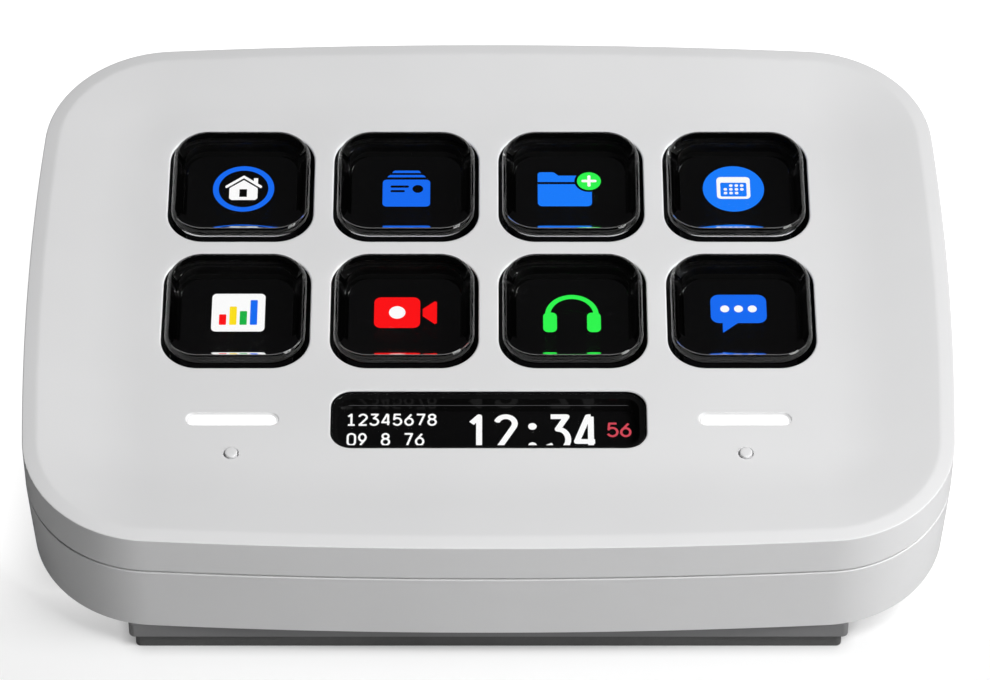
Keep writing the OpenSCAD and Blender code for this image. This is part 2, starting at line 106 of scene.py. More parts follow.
def slab_point(x, y, z):
    return SLAB @ Vector((x, y, z))


# ---------------------------------------------------------------- outlines
# A station is (centre x, centre y, radius, angle): a place on an outline of arcs.
SIDE_C = (BODY_W / 2 - SIDE_BOW_R, 0.0)
END_C = (0.0, BODY_L / 2 - END_BOW_R)


def circles_meet(p, rp, q, rq):
    """The point to the upper right where two circles cross."""
    dx, dy = q[0] - p[0], q[1] - p[1]
    d = math.hypot(dx, dy)
    ux, uy = dx / d, dy / d
    along = (d * d + rp * rp - rq * rq) / (2 * d)
    across = math.sqrt(rp * rp - along * along)
    return p[0] + along * ux - across * uy, p[1] + along * uy + across * ux


CORNER_C = circles_meet(SIDE_C, SIDE_BOW_R - CORNER_R, END_C, END_BOW_R - CORNER_R)
SIDE_END = math.atan2(CORNER_C[1] - SIDE_C[1], CORNER_C[0] - SIDE_C[0])
END_START = math.atan2(CORNER_C[1] - END_C[1], CORNER_C[0] - END_C[0])


def arc(c, r, a, b, steps, first=0):
    """Stations of an arc from angle a to angle b."""
    return [(c[0], c[1], r, a + (b - a) * i / steps) for i in range(first, steps + 1)]


def all_round(quadrant, skip):
    """Four quadrants from one. skip is 1 where its ends lie on the axes."""
    def mirrored(s):
        return -s[0], s[1], s[2], math.pi - s[3]

    half = quadrant[: len(quadrant) - skip] + [mirrored(s) for s in quadrant[skip:][::-1]]
    return half + [(-s[0], -s[1], s[2], s[3] + math.pi) for s in half]


BODY_OUTLINE = all_round(
    arc(SIDE_C, SIDE_BOW_R, 0, SIDE_END, 10)
    + arc(CORNER_C, CORNER_R, SIDE_END, END_START, 30, 1)
    + arc(END_C, END_BOW_R, END_START, math.pi / 2, 12, 1), 1)


def inside(x, y):
    """Distance inside the housing's outline."""
    x, y = abs(x), abs(y)
    if SIDE_END < math.atan2(y - CORNER_C[1], x - CORNER_C[0]) < END_START:
        return CORNER_R - math.hypot(x - CORNER_C[0], y - CORNER_C[1])
    return min(SIDE_BOW_R - math.hypot(x - SIDE_C[0], y),
               END_BOW_R - math.hypot(x, y - END_C[1]))


def dish_h(d):
    """Height of the dished face, d inside the housing's outline."""
    if d >= DISH_END:
        return 0.0
    return DISH_BOW_R - math.sqrt(DISH_BOW_R ** 2 - (DISH_END - d) ** 2)


def ring_at(stations, d, z):
    """Points d inside an outline, at height z."""
    return [(cx + (r - d) * math.cos(a), cy + (r - d) * math.sin(a), z)
            for cx, cy, r, a in stations]


def face_ring(stations, d, down=0.0):
    """Points d inside an outline, down under the dished face."""
    return [(x, y, dish_h(inside(x, y)) - down) for x, y, _ in ring_at(stations, d, 0)]


def rounded(w, l, r, steps=8, cx=0.0, cy=0.0):
    """Stations of a rectangle with rounded corners."""
    quadrant = arc((w / 2 - r, l / 2 - r), r, 0, math.pi / 2, steps)
    return [(x + cx, y + cy, s, a) for x, y, s, a in all_round(quadrant, 0)]


def pill(w, l, steps, cx=0.0, cy=0.0):
    """Stations of a rectangle with round ends."""
    return rounded(w, l, l / 2 - PILL_SLACK, steps, cx, cy)


def nub_circle(side, r):
    return [(side * NUB_X, NUB_Y, r, math.tau * i / NUB_STEPS) for i in range(NUB_STEPS)]


def bow(r, steps, d0, z0, to_top):
    """Points of a quarter round: from a wall to a top (to_top) or from an underside to a wall."""
    points = []
    for i in range(steps + 1):
        a = math.pi / 2 * i / steps
        if to_top:
            points.append((d0 + r * (1 - math.cos(a)), z0 + r * math.sin(a)))
        else:
            points.append((d0 + r * (1 - math.sin(a)), z0 + r * (1 - math.cos(a))))
    return points


# ---------------------------------------------------------------- mesh building
SAME_POINT = 1e-5                           # points nearer than this are one
SHARP_ANGLE, BOOLEAN_SHARP_ANGLE = math.radians(35), math.radians(30)


def within(x, y, loop):
    """Whether a point lies inside a closed outline."""
    found = False
    for (x0, y0), (x1, y1) in zip(loop, loop[1:] + loop[:1]):
        if (y0 > y) != (y1 > y) and x < (x1 - x0) * (y - y0) / (y1 - y0) + x0:
            found = not found
    return found


class Shape:
    """Vertices and faces of one mesh, in millimetres."""

    def __init__(self):
        self.verts, self.faces = [], []

    def ring(self, points):
        start = len(self.verts)
        self.verts += [tuple(p) for p in points]
        return list(range(start, len(self.verts)))

    def band(self, a, b):
        n = len(a)
        self.faces += [(a[i], a[(i + 1) % n], b[(i + 1) % n], b[i]) for i in range(n)]

    def rings(self, stations, profile, first=None):
        """Rings along a profile of (distance inside, height), joined by bands. Returns the last
        ring."""
        last = first
        for d, z in profile:
            ring = self.ring(ring_at(stations, d, z))
            if last is not None:
                self.band(last, ring)
            last = ring
        return last

    def cap(self, ring):
        self.faces.append(tuple(ring))

    def solid(self, stations, profile):
        """A closed solid, the first in its shape: the profile runs from its underside to its
        top."""
        self.cap(self.rings(stations, profile))
        self.cap(range(len(stations)))

    def fill(self, outer, holes, extra=()):
        """Triangles between an outer ring and holes, through the extra points."""
        index = list(outer)
        edges = []
        for loop in [outer] + list(holes):
            start = len(edges)
            if loop is not outer:
                index += loop
            n = len(loop)
            edges += [(start + i, start + (i + 1) % n) for i in range(n)]
        index += list(extra)
        points = [Vector(self.verts[i][:2]) for i in index]
        _, _, triangles, origin, _, _ = delaunay_2d_cdt(points, edges, [], 0, SAME_POINT)
        loops = [[self.verts[i][:2] for i in loop] for loop in holes]
        rim = [self.verts[i][:2] for i in outer]
        for t in triangles:
            if any(not origin[k] for k in t):
                raise ValueError("two outlines cross in a face")
            ids = [index[origin[k][0]] for k in t]
            mx = sum(self.verts[i][0] for i in ids) / 3
            my = sum(self.verts[i][1] for i in ids) / 3
            if within(mx, my, rim) and not any(within(mx, my, loop) for loop in loops):
                self.faces.append(tuple(ids))

    def build(self, name, material, body, place=SLAB, weighted=True):
        """The mesh becomes a named piece that rides on a body."""
        mesh = bpy.data.meshes.new(name)
        mesh.from_pydata(self.verts, [], self.faces)
        mesh.transform(place)
        bm = bmesh.new()
        bm.from_mesh(mesh)
        bmesh.ops.recalc_face_normals(bm, faces=bm.faces)
        bm.to_mesh(mesh)
        bm.free()
        mesh.shade_smooth()
        mesh.set_sharp_from_angle(angle=SHARP_ANGLE)
        obj = bpy.data.objects.new(name, mesh)
        bpy.context.scene.collection.objects.link(obj)
        mesh.materials.append(material)
        if weighted:
            obj.modifiers.new("normals", "WEIGHTED_NORMAL").keep_sharp = True
        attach(obj, body)
        return obj


# ---------------------------------------------------------------- materials
SHADE_SCALE, GLOSS_SCALE, PIXEL_SCALE = 60, 900, 9000
PIXEL_DIM = 0.97                            # how bright a display's dimmer pixels are


def srgb(r, g, b):
    """A colour of levels from 0 to 255, in linear values."""
    return tuple(((c / 255 + 0.055) / 1.055) ** 2.4 if c > 10 else c / 255 / 12.92
                 for c in (r, g, b)) + (1.0,)


def new_material(name, **sockets):
    material = bpy.data.materials.new(name)
    material.use_nodes = True
    shader = material.node_tree.nodes["Principled BSDF"]
    for key, value in sockets.items():
        shader.inputs[key.replace("_", " ")].default_value = value
    return material, material.node_tree, shader


def noise(tree, scale, detail=2.0):
    coords = tree.nodes.new("ShaderNodeTexCoord")
    texture = tree.nodes.new("ShaderNodeTexNoise")
    texture.inputs["Scale"].default_value = scale
    texture.inputs["Detail"].default_value = detail
    tree.links.new(coords.outputs["Object"], texture.inputs["Vector"])
    return texture.outputs["Fac"]


def ramp(tree, value, low, high):
    """Maps the middle of a noise onto colours or grey values from low to high."""
    node = tree.nodes.new("ShaderNodeValToRGB")
    for element, position, colour in zip(node.color_ramp.elements, (0.3, 0.7), (low, high)):
        element.position = position
        element.color = colour if isinstance(colour, tuple) else (colour, colour, colour, 1)
    tree.links.new(value, node.inputs["Fac"])
    return node.outputs["Color"]


def bump(tree, shader, value, distance):
    node = tree.nodes.new("ShaderNodeBump")
    node.inputs["Distance"].default_value = distance
    tree.links.new(value, node.inputs["Height"])
    tree.links.new(node.outputs["Normal"], shader.inputs["Normal"])


def moulded(name, low, high, grain_scale, grain_depth, rough_low, rough_high, **sockets):
    """Moulded plastic or rubber: a faint change of shade, a fine grain and uneven gloss."""
    material, tree, shader = new_material(name, **sockets)
    shade = ramp(tree, noise(tree, SHADE_SCALE), low, high)
    tree.links.new(shade, shader.inputs["Base Color"])
    gloss = ramp(tree, noise(tree, GLOSS_SCALE, 3), rough_low, rough_high)
    tree.links.new(gloss, shader.inputs["Roughness"])
    bump(tree, shader, noise(tree, grain_scale, 2), grain_depth)
    return material


def picture(name, colour, strength):
    """A lit area of a display: fine pixels a little brighter and dimmer than each other."""
    material, tree, shader = new_material(
        name, Roughness=0.6, Emission_Strength=strength,
        Base_Color=(0.002, 0.002, 0.002, 1), Specular_IOR_Level=0.0)
    dim = tuple(c * PIXEL_DIM for c in colour[:3]) + (1.0,)
    lit = ramp(tree, noise(tree, PIXEL_SCALE, 0), dim, colour)
    tree.links.new(lit, shader.inputs["Emission Color"])
    return material


# Darker and lighter shade, the grain's scale and its depth in metres, least and most roughness
SHELL = moulded("shell_plastic", (0.76, 0.76, 0.765, 1), (0.78, 0.78, 0.785, 1),
                5200, 0.000006, 0.36, 0.44)
# Painted shade: the plinth and the pad are coloured dark to stand in for the shade they lie in
# under the housing
SHADED_FOOT = moulded("foot_plastic", (0.17, 0.17, 0.173, 1), (0.195, 0.195, 0.198, 1),
               3500, 0.000012, 0.5, 0.6)
SHADED_RUBBER = moulded("foot_rubber", (0.08, 0.08, 0.08, 1), (0.1, 0.1, 0.1, 1),
                 2500, 0.00004, 0.7, 0.85)
BLACK = moulded("black_plastic", (0.003, 0.003, 0.003, 1), (0.004, 0.004, 0.004, 1),
                3000, 0.000004, 0.5, 0.6, Specular_IOR_Level=0.05)
SCREEN = moulded("black_screen", (0.0036, 0.0036, 0.0038, 1), (0.0042, 0.0042, 0.0044, 1),
                 3000, 0.000001, 0.45, 0.5, Specular_IOR_Level=0.0)
STEEL = moulded("plain_steel", (0.5, 0.5, 0.52, 1), (0.58, 0.58, 0.6, 1),
                1500, 0.000006, 0.3, 0.42, Metallic=1.0)
BOARD = moulded("board_mask", (0.01, 0.09, 0.04, 1), (0.014, 0.12, 0.055, 1),
                2600, 0.000006, 0.3, 0.4)
BLACK_BOARD = moulded("black_board_mask", (0.004, 0.004, 0.004, 1), (0.005, 0.005, 0.005, 1),
                      2600, 0.000006, 0.5, 0.6, Specular_IOR_Level=0.05)
RIBBON = moulded("ribbon_film", (0.45, 0.2, 0.03, 1), (0.55, 0.26, 0.05, 1),
                 2600, 0.000003, 0.3, 0.4)
PALE = moulded("pale_plastic", (0.8, 0.8, 0.78, 1), (0.85, 0.85, 0.83, 1),
               2600, 0.000003, 0.4, 0.5)
TRAY = moulded("tray_paint", (0.06, 0.06, 0.065, 1), (0.08, 0.08, 0.085, 1),
               2600, 0.000006, 0.4, 0.5)
GLOSS_BLACK = moulded("gloss_black", (0.004, 0.004, 0.004, 1), (0.006, 0.006, 0.006, 1),
                      3000, 0.000001, 0.04, 0.08, Specular_IOR_Level=0.05)

CLEAR, clear_tree, clear_shader = new_material(
    "clear_plastic", Base_Color=(0.99, 0.99, 0.99, 1), Transmission_Weight=1.0, IOR=1.49)
clear_tree.links.new(ramp(clear_tree, noise(clear_tree, 700, 1), 0.0, 0.012),
                     clear_shader.inputs["Roughness"])

LIT = 1.08                                  # strength of the pictures on the keys and the bar
GLOW = picture("slot_glow", (1.0, 1.0, 1.0, 1), 1.15)
WHITE = picture("picture_white", (1.0, 1.0, 1.0, 1), LIT)
BLUE = picture("picture_blue", srgb(22, 108, 245), LIT)
LIGHT_BLUE = picture("picture_light_blue", srgb(25, 125, 255), LIT)
GREEN = picture("picture_green", srgb(48, 248, 80), LIT)
RED = picture("picture_red", srgb(255, 16, 20), LIT)
YELLOW = picture("picture_yellow", srgb(255, 226, 30), LIT)
DEEP_GREEN = picture("picture_deep_green", srgb(28, 180, 70), LIT)
SOFT_RED = picture("picture_soft_red", srgb(214, 76, 90), 1.05)
# a painted highlight, for the glowing line along the bar frame's rear wall
EDGE_HIGHLIGHT_GREY = picture("painted_edge_highlight", srgb(78, 78, 80), 1.0)


# ---------------------------------------------------------------- top cover
def key_place(k):
    """Keys 1 to 4 are the upper row, from the left, and keys 5 to 8 the lower row."""
    return ((k - 1) % 4 - 1.5) * KEY_PITCH, UPPER_ROW_Y - (KEY_PITCH if k > 4 else 0)


DARK_OPENINGS = [rounded(KEY_HOLE, KEY_HOLE, HOLE_R, 16, *key_place(k)) for k in KEYS]
DARK_OPENINGS.append(rounded(INFO_W, INFO_L, INFO_R, 12, 0, BAR_ROW_Y))
SLOTS = [pill(SLOT_W, SLOT_L, 10, side * TOUCH_X, BAR_ROW_Y) for side in SIDES]
GROOVES = [nub_circle(side, NUB_R + NUB_GAP) for side in SIDES]
OPENINGS = [(stations, FILLET) for stations in DARK_OPENINGS]
OPENINGS += [(stations, SLOT_FILLET) for stations in SLOTS + GROOVES]


def cover_profiles():
    """Sections of the upper shell: its outside, from the seam over the rim to the face, and its
    inside, from under the face to the seam."""
    seam = -SEAM_DEPTH + SEAM_GAP / 2
    crest = RIM_H + BAND_RISE
    dish_top = crest - 0.015
    slope = (dish_top - dish_h(DISH_BEND)) / (DISH_BEND - DISH_START)
    outside = bow(SEAM_EDGE, 4, 0, seam, False)
    outside += [(0, -1.5)]
    outside += bow(RIM_ROUND, 5, 0, RIM_H - RIM_ROUND, True)
    outside += [(0.5, RIM_H + 0.05), (BAND_W - 0.3, crest - 0.03), (BAND_W - 0.1, crest - 0.012),
                (BAND_W + 0.05, crest), (DISH_START - 0.1, crest - 0.004), (DISH_START, dish_top),
                (2.1, crest - 0.046), (3.2, crest - 0.222)]
    outside += [(d, dish_top - slope * (d - DISH_START)) for d in (4.5, 6.0, 7.0)]
    outside += [(d, dish_h(d)) for d in (DISH_BEND, 8.2, 9.0, 10.0, 11.0, FACE_EDGE)]
    within_walls = [(FACE_EDGE, -FACE_T), (DISH_BEND, dish_h(DISH_BEND) - 1.5),
                    (WALL + 0.7, -0.5), (WALL, -1.2), (WALL, LIP_TOP), (LIP_T, LIP_TOP),
                    (LIP_T, seam)]
    return outside, within_walls


def face_grid(margins):
    """Points spread over the dished face, clear of its edge and of the openings' margins."""
    points = []
    for i in range(-GRID_COLUMNS, GRID_COLUMNS + 1):
        for j in range(-GRID_ROWS, GRID_ROWS + 1):
            x, y = i * GRID_STEP, j * GRID_STEP
            on_face = inside(x, y) > FACE_EDGE + GRID_OFF_EDGE
            if on_face and not any(within(x, y, margin) for margin in margins):
                points.append((x, y, dish_h(inside(x, y))))
    return points


def top_cover():
    shape = Shape()
    outside, within_walls = cover_profiles()
    underside = shape.ring(ring_at(BODY_OUTLINE, *within_walls[0]))
    face_rim = shape.rings(BODY_OUTLINE, within_walls[1:] + outside, underside)
    edges, lows = [], []
    for opening, fillet in OPENINGS:
        last = shape.ring(face_ring(opening, -fillet))
        edges.append(last)
        for i in range(1, FILLET_STEPS + 1):
            a = math.pi / 2 * i / FILLET_STEPS
            out, down = fillet * (1 - math.sin(a)), fillet * (1 - math.cos(a))
            ring = shape.ring(face_ring(opening, -out, down))
            shape.band(last, ring)
            last = ring
        ring = shape.ring(ring_at(opening, 0, -FACE_T))
        shape.band(last, ring)
        lows.append(ring)
    extra, margins = [], []
    for opening, fillet in OPENINGS:
        extra += shape.ring(face_ring(opening, -fillet - SUPPORT))
        margin = ring_at(opening, -fillet - SUPPORT - GRID_OFF_OPENING, 0)
        margins.append([(x, y) for x, y, _ in margin])
    extra += shape.ring(face_grid(margins))
    shape.fill(face_rim, edges, extra)
    shape.fill(underside, lows)
    obj = shape.build("top_shell", SHELL, "housing")
    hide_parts("top_cover")


top_cover()


def painted_gap_shade():
    """Thin black bands inside the walls of the keys' openings and the bar's, right below their
    white rims: painted shade that stands in for the shade in the narrow gaps round the caps and the
    pane."""
    shape = Shape()
    for stations in DARK_OPENINGS:
        first = shape.ring(ring_at(stations, GAP_SHADE_OUT, -FILLET))
        last = shape.rings(stations, [(GAP_SHADE_IN, -FILLET), (GAP_SHADE_IN, -FACE_T),
                                      (GAP_SHADE_OUT, -FACE_T)], first)
        shape.band(last, first)
    obj = shape.build("painted_gap_shade", BLACK, "housing", weighted=False)


painted_gap_shade()

# (distance inside, height): up the groove's outer wall, across its floor and over the crown
NUB_PROFILE = [(-NUB_GAP, -FACE_T), (-NUB_GAP, -0.5), (0, -0.5), (0, 0.14), (0.03, 0.2),
               (0.08, 0.24), (0.16, 0.26), (0.4, 0.27), (0.6, 0.272)]


def touch_nub(side, side_name):
    """A small round raised dot with a soft crown, in a ring-shaped groove."""
    shape = Shape()
    shape.solid(nub_circle(side, NUB_R), NUB_PROFILE)
    obj = shape.build(side_name + "_nub", SHELL, "housing")


for side, side_name in SIDES.items():
    touch_nub(side, side_name)


# ---------------------------------------------------------------- bottom cover
def port_cutter():
    """A pill-shaped tunnel along y that widens where it leaves the rear wall."""
    rear = BODY_L / 2
    sections = [(rear - PORT_DEPTH, 0), (rear - 0.55, 0), (rear + 1, 1.55)]    # (y, how much out)
    stations = pill(PORT_W, PORT_L, 12)
    shape = Shape()
    rings = [shape.ring([(x, y, z + SOCKET_Z) for x, z, _ in ring_at(stations, -out, 0)])
             for y, out in sections]
    shape.cap(rings[0])
    for ring, following in zip(rings, rings[1:]):
        shape.band(ring, following)
    shape.cap(rings[-1])
    return shape


def bottom_cover():
    shape = Shape()
    seam = -SEAM_DEPTH - SEAM_GAP / 2
    tongue, tongue_foot = LIP_T + LIP_GAP, LIP_TOP - 0.15
    profile = [(DRAFT + 1.5, -BODY_DEPTH), (DRAFT + 0.3, -BODY_DEPTH)]
    profile += bow(BASE_EDGE, 3, DRAFT, -BODY_DEPTH, False)
    profile += [(DRAFT * 0.66, -BODY_DEPTH + 3.3), (DRAFT * 0.33, -BODY_DEPTH + 6.6)]
    profile += bow(SEAM_EDGE, 4, 0, seam - SEAM_EDGE, True)
    profile += [(tongue, seam), (tongue, tongue_foot), (WALL, tongue_foot),
                (WALL + DRAFT, FLOOR_TOP + 0.8), (WALL + DRAFT + 0.8, FLOOR_TOP)]
    last = shape.rings(BODY_OUTLINE, profile)
    shape.cap(range(len(BODY_OUTLINE)))
    shape.cap(last)
    obj = shape.build("bottom_shell", SHELL, "housing", weighted=False)
    tool = port_cutter().build("port_tool", SHELL, "housing", weighted=False)
    modifier = obj.modifiers.new("port", "BOOLEAN")
    modifier.operation, modifier.solver, modifier.object = "DIFFERENCE", "EXACT", tool
    evaluated = obj.evaluated_get(bpy.context.evaluated_depsgraph_get())
    mesh = bpy.data.meshes.new_from_object(evaluated)
    obj.modifiers.remove(modifier)
    obj.data = mesh
    mesh.set_sharp_from_angle(angle=BOOLEAN_SHARP_ANGLE)
    obj.modifiers.new("normals", "WEIGHTED_NORMAL").keep_sharp = True
    bpy.data.objects.remove(tool)
    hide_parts("bottom_cover")


bottom_cover()


# ---------------------------------------------------------------- foot
def under_housing(y):
    """Height of the housing's sloping underside over the desk, at world y in millimetres."""
    p = slab_point(0, 0, -BODY_DEPTH) / MM
    return p.z + (y - p.y) * math.tan(TILT)


def plinth():
    """The foot's wedge, whose top follows the housing's underside."""
    stations = rounded(PLINTH_W, PLINTH_L, PLINTH_R, 8, 0, PLINTH_Y)
    shape = Shape()
    last = shape.rings(stations, [(0.15, PAD_H), (0.045, PAD_H + 0.045), (0, PAD_H + 0.15)])
    top = shape.ring([(x, y, under_housing(y)) for x, y, _ in ring_at(stations, 0, 0)])
    shape.band(last, top)
    shape.cap(top)
    shape.cap(range(len(stations)))
    obj = shape.build("plinth", SHADED_FOOT, "housing", WORLD)
    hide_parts("base_plinth")


def rubber_pad():
    """The pad under the plinth, with a shallow hollow in its underside."""
    shape = Shape()
    shape.solid(rounded(PLINTH_W - PAD_LESS_W, PLINTH_L - PAD_LESS_L, PAD_R, 8, 0, PLINTH_Y),
                [(0.5, 0.2), (0.42, 0.04), (0.3, 0), (0.1, 0), (0.03, 0.04), (0, 0.12),
                 (0, PAD_H)])
    obj = shape.build("rubber_foot", SHADED_RUBBER, "housing", WORLD)
    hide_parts("foot_pad")


plinth()
rubber_pad()


# ---------------------------------------------------------------- keys
def key_cap(k):
    """A clear cap with a hollow stem that comes down round its display panel."""
    profile = [(POCKET_IN, POCKET_TOP), (POCKET_IN, STEM_LOW), (STEM_IN + STEM_EDGE, STEM_LOW),
               (STEM_IN, STEM_LOW + STEM_EDGE), (STEM_IN, FLANGE_LOW), (-FLANGE_OUT, FLANGE_LOW),
               (-FLANGE_OUT, FLANGE_TOP), (0, FLANGE_TOP)]
    profile += bow(KEY_EDGE_R, 14, 0, KEY_H - KEY_EDGE_R, True)
    shape = Shape()
    shape.solid(rounded(KEY_W, KEY_W, KEY_R, 20, *key_place(k)), profile)
    name = "key_%d" % k
    obj = shape.build(name + "_cap", CLEAR, name)
    obj.visible_shadow = False
    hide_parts(name)


for k in KEYS:
    key_cap(k)

# ---------------------------------------------------------------- pictures on the displays
BOX_STEPS, JOINT_STEPS, COLON_STEPS, CURVE_STEPS = 6, 12, 20, 14


def circle_loop(x, y, r, steps=64):
    return [(x + r * math.cos(math.tau * i / steps), y + r * math.sin(math.tau * i / steps))
            for i in range(steps)]


def box_loop(x0, y0, x1, y1, r=0.0):
    """A rectangle with rounded corners."""
    if r <= 0:
        return [(x0, y0), (x1, y0), (x1, y1), (x0, y1)]
    stations = rounded(x1 - x0, y1 - y0, r, BOX_STEPS, (x0 + x1) / 2, (y0 + y1) / 2)
    return [(x, y) for x, y, _ in ring_at(stations, 0, 0)]


def line_loops(points, w):
    """A line of width w with flat ends and round joins, as overlapping outlines."""
    loops = []
    for (x0, y0), (x1, y1) in zip(points, points[1:]):
        d = math.hypot(x1 - x0, y1 - y0)
        nx, ny = (y0 - y1) / d * w / 2, (x1 - x0) / d * w / 2
        loops.append([(x0 + nx, y0 + ny), (x0 - nx, y0 - ny),
                      (x1 - nx, y1 - ny), (x1 + nx, y1 + ny)])
    closed = math.dist(points[0], points[-1]) < 1e-6
    joints = points[0 if closed else 1:-1]
    loops += [circle_loop(x, y, w / 2, JOINT_STEPS) for x, y in joints]
    return loops


def decal(name, solids, material, x, y, z, holes=()):
    """A thin flat plate that fills the solid outlines together, apart from the holes."""
    points, edges = [], []
    for loop in list(solids) + list(holes):
        start, n = len(points), len(loop)
        points += [Vector(p) for p in loop]
        edges += [(start + i, start + (i + 1) % n) for i in range(n)]
    flat, _, triangles, _, _, _ = delaunay_2d_cdt(points, edges, [], 0, SAME_POINT)
    kept = []
    for t in triangles:
        cx, cy = sum(flat[i][0] for i in t) / 3, sum(flat[i][1] for i in t) / 3
        in_hole = any(within(cx, cy, loop) for loop in holes)
        if any(within(cx, cy, loop) for loop in solids) and not in_hole:
            kept.append(tuple(t))
    used = sorted({i for t in kept for i in t})
    shape = Shape()
    low, high = (dict(zip(used, shape.ring([(flat[i][0] + x, flat[i][1] + y, h) for i in used])))
                 for h in (z, z + PICTURE_T))
    sides = {(t[i], t[(i + 1) % 3]) for t in kept for i in range(3)}
    shape.faces += [tuple(high[i] for i in t) for t in kept]
    shape.faces += [tuple(low[i] for i in t[::-1]) for t in kept]
    shape.faces += [(low[a], low[b], high[b], high[a])
                    for a, b in sorted(sides) if (b, a) not in sides]
    obj = shape.build(name, material, "housing", weighted=False)


def icon(k, part, solids, material, layer=0, holes=()):
    """One colour of the picture under key k, drawn round the picture's middle."""
    x, y = key_place(k)
    dx, dy = PICTURE_SHIFT.get(k, (0, 0))
    x, y = x * PICTURE_PITCH / KEY_PITCH + dx, y + dy
    decal("picture_%d_%s" % (k, part), solids, material, x, y + PICTURE_Y,
          PANEL_TOP + PICTURE_GAP + LAYER_STEP * layer, holes)


# 1: a house in a ring
icon(1, "ring", [circle_loop(0, 0, 3.64)], BLUE, holes=[circle_loop(0, 0, 2.95)])
roof = [(-2.2, 0.3), (-2.02, 0.12), (0, 1.72), (2.02, 0.12), (2.2, 0.3), (2.12, 0.5),
        (1.68, 0.85), (1.68, 1.7), (1.18, 1.7), (1.18, 1.24), (0, 2.15), (-2.12, 0.5)]
walls = [(-1.68, -1.5), (-1.4, -1.78), (1.4, -1.78), (1.68, -1.5), (1.68, 0.1), (0, 1.4),
         (-1.68, 0.1)]
icon(1, "house", [roof, walls], WHITE, holes=[box_loop(-0.48, -1.3, 0.42, -0.05)])

# 2: a stack of cards
icon(2, "card", [box_loop(-2.82, -2.3, 2.82, 2.0, 0.5)], BLUE,
     holes=[box_loop(-1.9, 0.7, 0.3, 1.08, 0.18), box_loop(-1.9, -0.02, -0.18, 0.34, 0.17),
            circle_loop(1.35, 0.52, 0.64)])
icon(2, "middle_card", [[(-2.28, 2.4), (2.28, 2.4), (2.1, 2.66), (1.85, 2.76), (-1.85, 2.76),
                         (-2.1, 2.66)]], BLUE)
icon(2, "rear_card", [[(-1.72, 3.1), (1.72, 3.1), (1.55, 3.38), (1.35, 3.46), (-1.35, 3.46),
                       (-1.55, 3.38)]], BLUE)

# 3: a folder with a plus sign on a green disc
BADGE_X, BADGE_Y, BADGE_R, BADGE_GAP = 2.42, 1.62, 1.42, 0.32
PLUS_LONG, PLUS_WIDE = 0.9, 0.19
round_badge = [circle_loop(BADGE_X, BADGE_Y, BADGE_R + BADGE_GAP)]
icon(3, "folder_front", [box_loop(-3.68, -2.4, 2.74, 0.6, 0.55), box_loop(-3.68, 0, 2.74, 1.12)],
     LIGHT_BLUE, holes=round_badge)
icon(3, "folder_back", [box_loop(-3.68, 1.5, 2.74, 2.5), box_loop(-3.68, 1.9, -1.62, 3.05, 0.4),
                        [(-2.2, 2.5), (-1.2, 2.5), (-1.75, 3.0), (-2.2, 3.0)]],
     LIGHT_BLUE, holes=round_badge)
icon(3, "badge", [circle_loop(BADGE_X, BADGE_Y, BADGE_R)], GREEN)
icon(3, "plus", [box_loop(BADGE_X - w, BADGE_Y - h, BADGE_X + w, BADGE_Y + h, 0.17)
                 for w, h in ((PLUS_LONG, PLUS_WIDE), (PLUS_WIDE, PLUS_LONG))], WHITE, 1)

# 4: a calendar sheet on a disc
icon(4, "disc", [circle_loop(0, 0, 3.64)], LIGHT_BLUE)
DAY_ROWS = ((0.5, (-0.3, 0.36, 1.0)), (-0.1, (-0.96, -0.3, 0.36, 1.0)),
            (-0.7, (-0.96, -0.3, 0.36)))
days = [box_loop(cx - 0.2, cy - 0.19, cx + 0.2, cy + 0.19, 0.14)
        for cy, columns in DAY_ROWS for cx in columns]
icon(4, "sheet", [box_loop(-1.98, -1.62, 1.98, 1.86, 0.5)], WHITE, 1,
     [box_loop(-1.56, -1.28, 1.56, 0.98, 0.2)])
icon(4, "days", days, WHITE, 1)

# 5: a bar chart on a white sheet
icon(5, "sheet", [box_loop(-3.1, -2.9, 3.1, 2.9, 0.55)], WHITE)
CHART = ((-1.8, -0.3, RED), (-0.6, 0.9, YELLOW), (0.6, 0.2, DEEP_GREEN), (1.8, 1.9, BLUE))
for bar, (cx, top, colour) in enumerate(CHART, 1):
    icon(5, "bar_%d" % bar, [box_loop(cx - 0.42, -1.9, cx + 0.42, top, 0.12)], colour, 1)

# 6: a video camera with a white dot
icon(6, "camera", [box_loop(-3.6, -2.35, 1.75, 2.35, 0.8)], RED)
icon(6, "lens", [[(2.05, -0.55), (3.45, -1.75), (3.7, -1.6), (3.7, 1.6), (3.45, 1.75),
                  (2.05, 0.55)]], RED)
icon(6, "dot", [circle_loop(-0.92, 0, 0.95)], WHITE, 1)

# 7: headphones
headband = [(2.82 * math.cos(math.pi * i / 24), 2.82 * math.sin(math.pi * i / 24) - 0.4)
            for i in range(25)]
ear_cups = [box_loop(-3.35, -3.0, -1.75, 0, 0.6), box_loop(1.75, -3.0, 3.35, 0, 0.6)]
icon(7, "headphones", line_loops(headband, 0.62) + ear_cups, GREEN)

# 8: a speech bubble with three dots
icon(8, "bubble", [box_loop(-3.25, -1.6, 3.25, 2.75, 1.0),
                   [(-1.9, -1.4), (0.1, -1.4), (-1.9, -3.1)]], BLUE)
icon(8, "dots", [circle_loop(1.6 * dot, 0.55, 0.52) for dot in (-1, 0, 1)], WHITE, 1)


